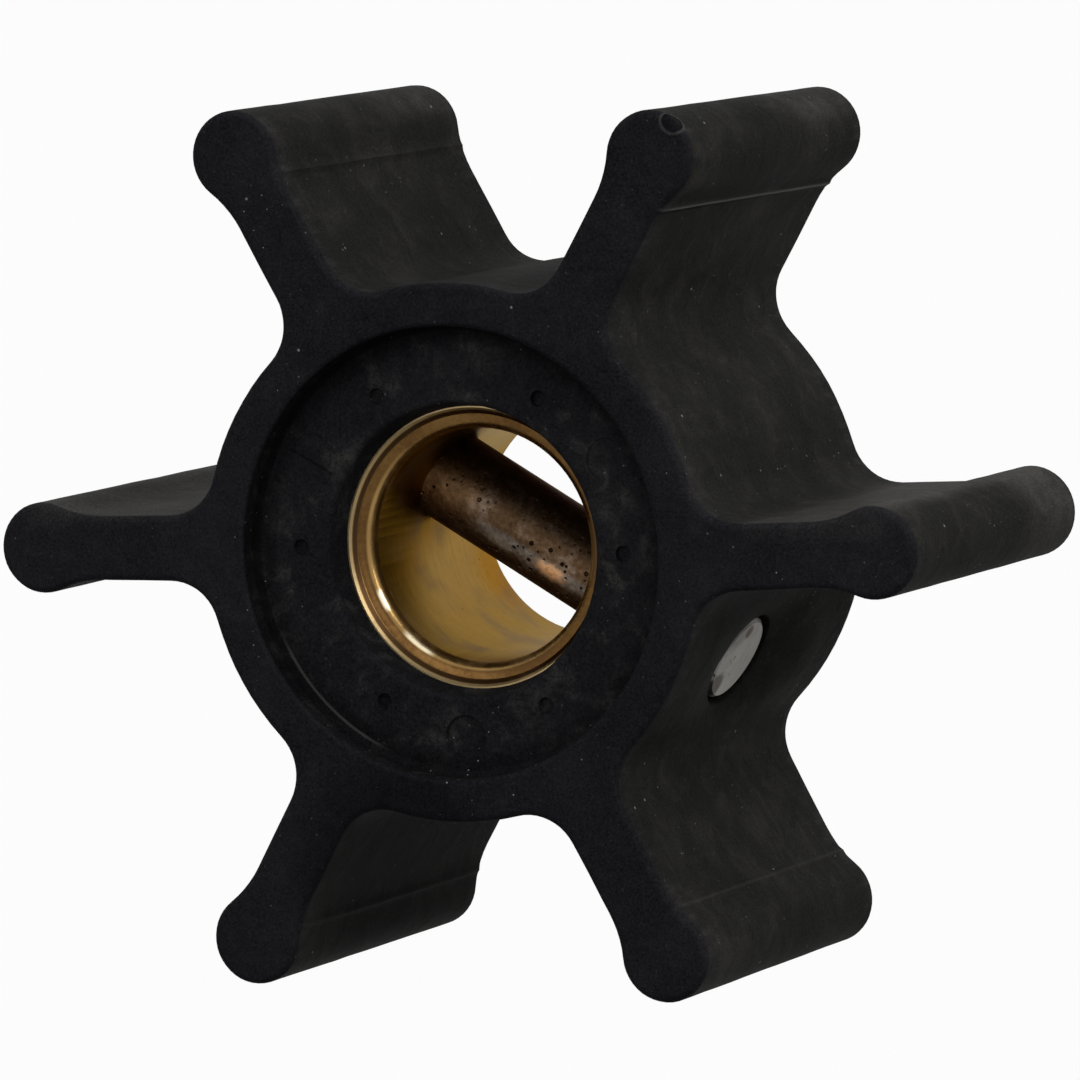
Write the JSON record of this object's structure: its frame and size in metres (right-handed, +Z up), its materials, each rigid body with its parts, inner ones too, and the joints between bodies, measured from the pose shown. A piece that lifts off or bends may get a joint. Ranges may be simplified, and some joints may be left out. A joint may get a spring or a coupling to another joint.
{
  "type": "pump impeller",
  "caption": "Flexible-vane rubber pump impeller, with bulbs along its vane tips, a bonded brass sleeve and a cross pin that drives it from a slotted shaft.",
  "frame": {"origin": "on the axis of the shaft bore, midway between the two faces", "axes": "the shaft runs along Y and the front face looks towards -Y; +Z is up, with two vanes pointing down that the part stands on; +X is to the right as seen from the front"},
  "size_m": [0.051, 0.0222, 0.045],
  "materials": {
    "rubber": "black nitrile rubber, matt, dusty, with moulding marks",
    "brass": "turned brass, tarnished, worn bright on the edges of its bore",
    "pin_steel": "stainless pin, stained brown and pitted in the bore, bare at its ends"
  },
  "bodies": {
    "root": {"rubber_impeller": "rubber", "brass_insert": "brass", "drive_pin": "pin_steel"}
  },
  "joints": []
}
